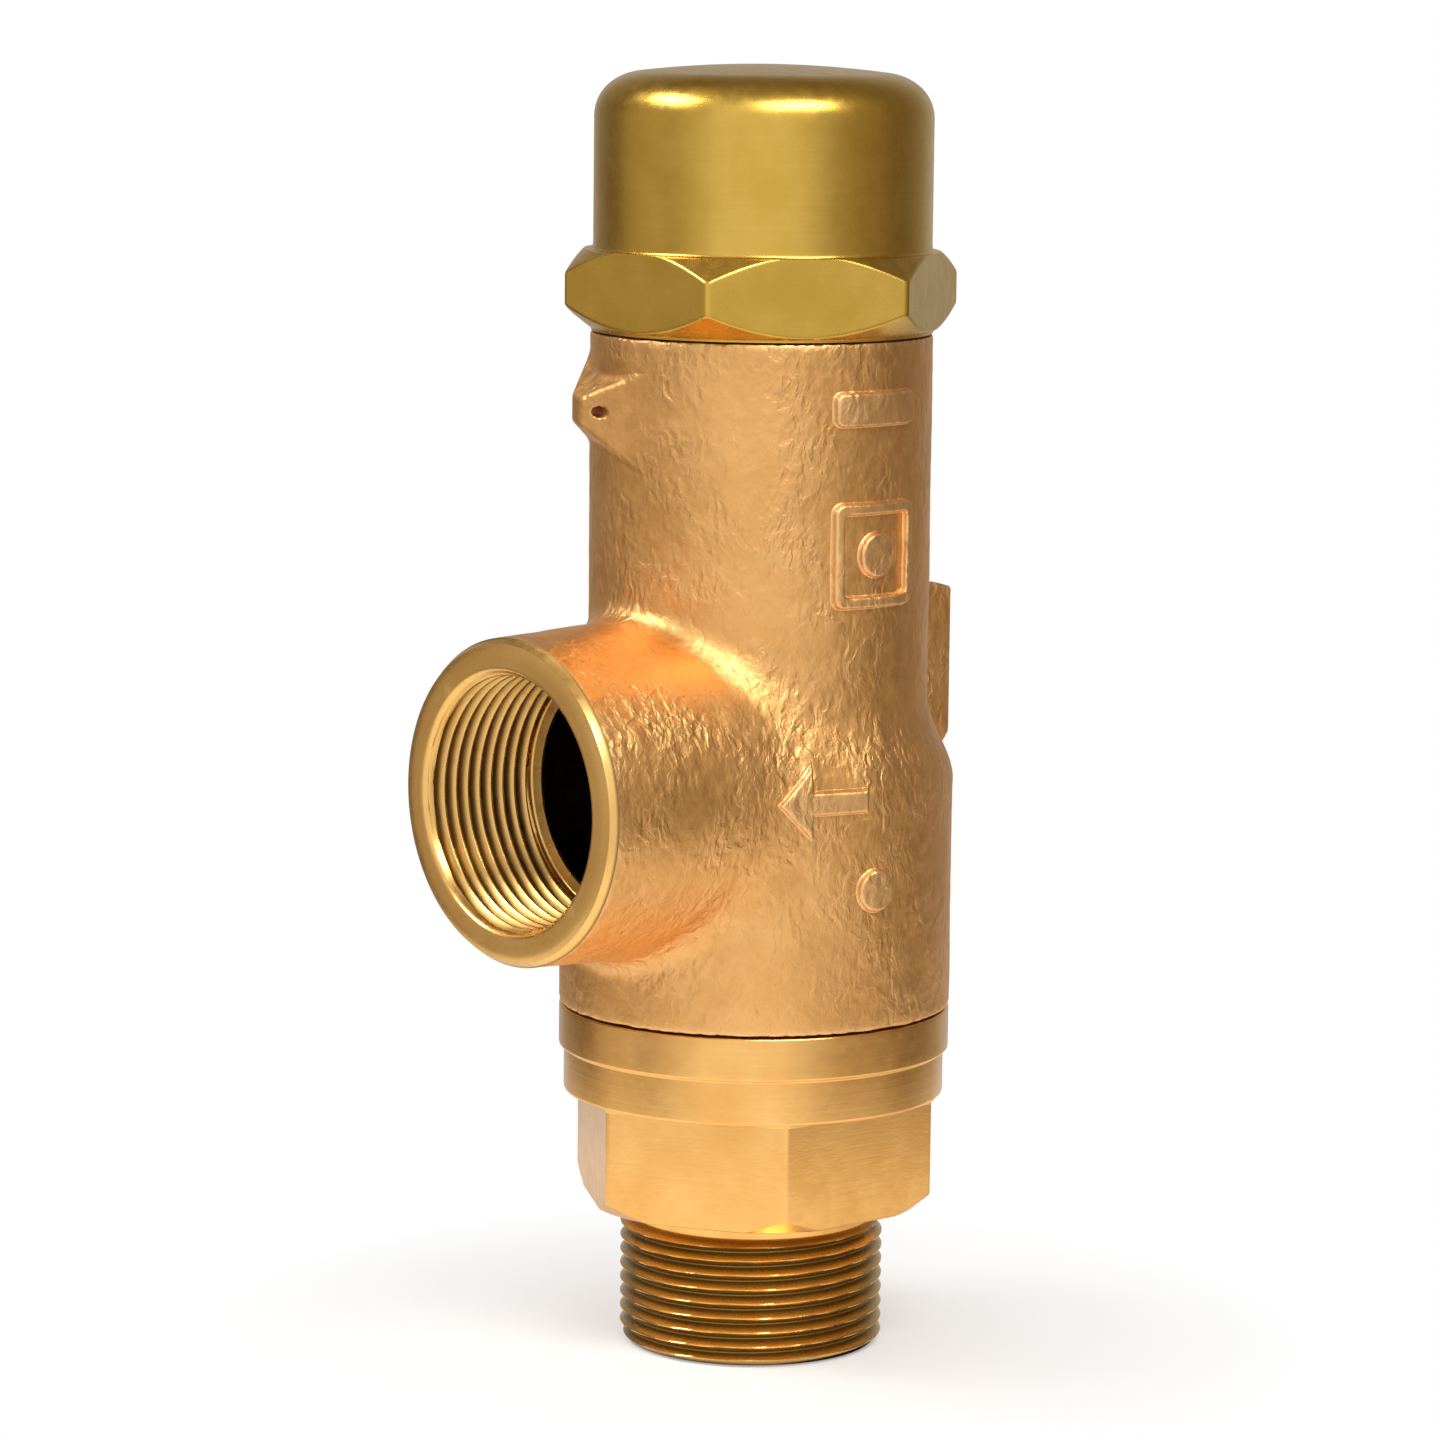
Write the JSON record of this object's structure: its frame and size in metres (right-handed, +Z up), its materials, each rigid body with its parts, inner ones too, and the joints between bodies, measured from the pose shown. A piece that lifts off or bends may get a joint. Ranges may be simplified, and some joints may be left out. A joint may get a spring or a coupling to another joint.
{
  "type": "pressure relief valve",
  "caption": "Spring-loaded bronze pressure relief valve with a male threaded inlet, a female threaded side outlet and a screwed dome cap over its adjusting screw.",
  "frame": {"origin": "centre of the inlet thread's end face, on the valve's axis", "axes": "+Z runs up the valve's axis from the inlet to the cap; the side outlet faces -Y"},
  "size_m": [0.0634, 0.083, 0.2027],
  "materials": {
    "cast_bronze": "sand-cast bronze, blasted, matte and slightly rough",
    "machined_nozzle": "machined bronze with fine turning marks, satin",
    "cap_brass": "polished yellow brass with fine turning marks",
    "inner_brass": "machined brass",
    "bush_bronze": "bearing bronze",
    "stainless_steel": "machined stainless steel",
    "spring_steel": "dark oiled spring steel",
    "seal_rubber": "black rubber",
    "seat_plastic": "white soft-seat plastic",
    "gasket_fibre": "dark compressed fibre"
  },
  "bodies": {
    "body": {"valve_body": "cast_bronze", "inlet_nozzle": "machined_nozzle", "nozzle_gasket": "gasket_fibre", "guide_plate": "inner_brass", "guide_bush": "bush_bronze", "guide_o_ring": "seal_rubber", "guide_retaining_ring": "spring_steel", "spring": "spring_steel"},
    "lifting_train": {"disc_holder": "inner_brass", "seat_disc": "seat_plastic", "disc_washer": "stainless_steel", "disc_screw": "stainless_steel", "pivot_ball": "stainless_steel", "spindle": "stainless_steel", "spindle_pin": "stainless_steel", "lower_spring_plate": "inner_brass"},
    "thrust_plate": {"upper_spring_plate": "inner_brass", "thrust_washer": "bush_bronze"},
    "adjuster": {"adjusting_screw": "inner_brass"},
    "lock_seat": {"lock_washer": "stainless_steel"},
    "lock_nut": {"lock_ring": "inner_brass"},
    "cap_seat": {"cap_gasket": "gasket_fibre"},
    "cap_shell": {"cap": "cap_brass"}
  },
  "joints": [
    {"name": "disc_lift", "type": "slide", "parent": "body", "child": "lifting_train", "axis": [0, 0, 1], "range_m": [0, 0.008], "stiffness_N_per_m": 20800, "springref_m": -0.013, "deforming": ["spring"]},
    {"name": "adjuster_travel", "type": "slide", "parent": "body", "child": "thrust_plate", "axis": [0, 0, 1], "range_m": [-0.003, 0.003]},
    {"name": "adjuster_turn", "type": "hinge", "parent": "thrust_plate", "child": "adjuster", "pos_m": [0, 0, 0.173], "axis": [0, 0, 1], "range_deg": [-720, 720]},
    {"name": "lock_ring_travel", "type": "slide", "parent": "body", "child": "lock_seat", "axis": [0, 0, 1], "range_m": [0, 0.0045]},
    {"name": "lock_ring_turn", "type": "hinge", "parent": "lock_seat", "child": "lock_nut", "pos_m": [0, 0, 0.177], "axis": [0, 0, 1], "range_deg": [0, 1080]},
    {"name": "cap_lift", "type": "slide", "parent": "body", "child": "cap_seat", "axis": [0, 0, 1], "range_m": [0, 0.046]},
    {"name": "cap_turn", "type": "hinge", "parent": "cap_seat", "child": "cap_shell", "pos_m": [0, 0, 0.18], "axis": [0, 0, 1], "range_deg": [0, 8280]}
  ],
  "couplings": [
    {"joint": "adjuster_travel", "follows": "adjuster_turn", "m_per_rad": 0.00023873},
    {"joint": "lock_ring_travel", "follows": "lock_ring_turn", "m_per_rad": 0.00023873},
    {"joint": "cap_lift", "follows": "cap_turn", "m_per_rad": 0.00031831}
  ]
}
